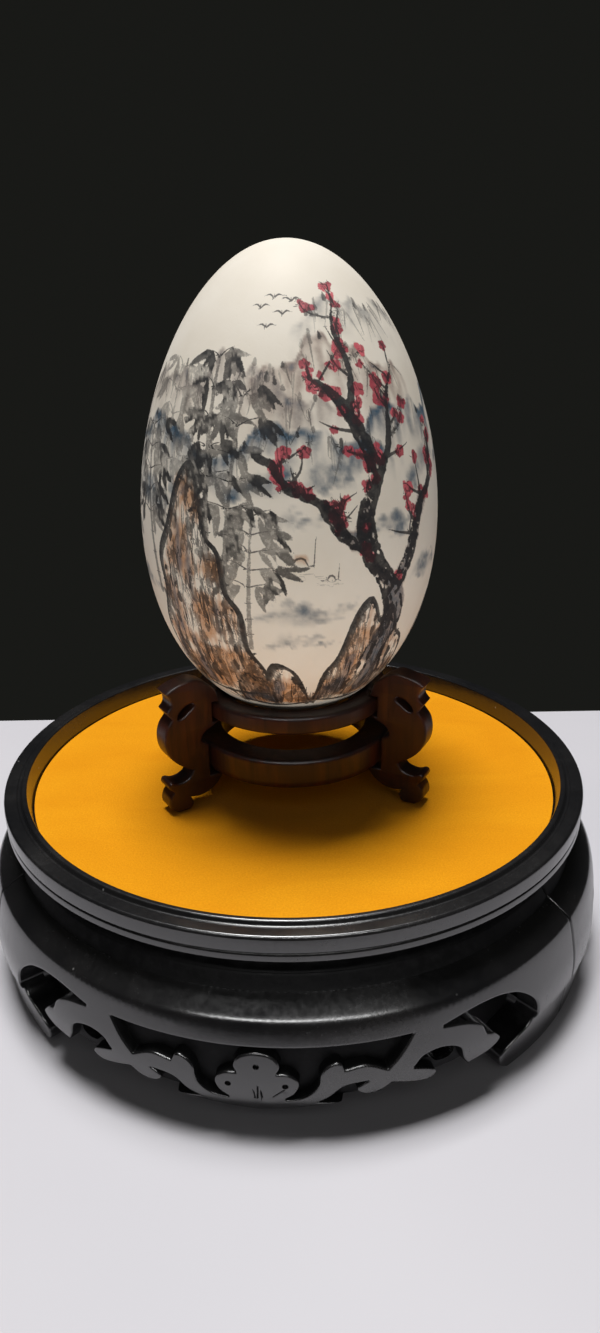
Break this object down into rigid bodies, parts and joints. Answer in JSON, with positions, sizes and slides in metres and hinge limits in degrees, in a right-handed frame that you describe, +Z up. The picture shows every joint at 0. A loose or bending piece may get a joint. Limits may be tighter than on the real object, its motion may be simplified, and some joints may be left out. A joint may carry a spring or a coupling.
{
  "type": "painted eggshell on a stand",
  "caption": "Painted goose egg standing in a small fretwork wooden stand on the velvet tray of a round, black, carved display plinth.",
  "frame": {"origin": "the plinth's axis at the surface that its feet stand on", "axes": "+Z up along the egg's axis; the front is towards -Y and +X is to its right"},
  "size_m": [0.1322, 0.1322, 0.1426],
  "materials": {
    "painted_shell": "satin",
    "carved_rosewood": "satin",
    "orange_velvet": "matte",
    "black_lacquer": "gloss"
  },
  "bodies": {
    "root": {"egg": "painted_shell", "stand_top_ring": "carved_rosewood", "stand_lower_ring": "carved_rosewood", "stand_leg_1": "carved_rosewood", "stand_leg_2": "carved_rosewood", "stand_leg_3": "carved_rosewood", "velvet_disc": "orange_velvet", "plinth_top": "black_lacquer", "plinth_apron_1": "black_lacquer", "plinth_apron_2": "black_lacquer", "plinth_apron_3": "black_lacquer"}
  },
  "joints": []
}
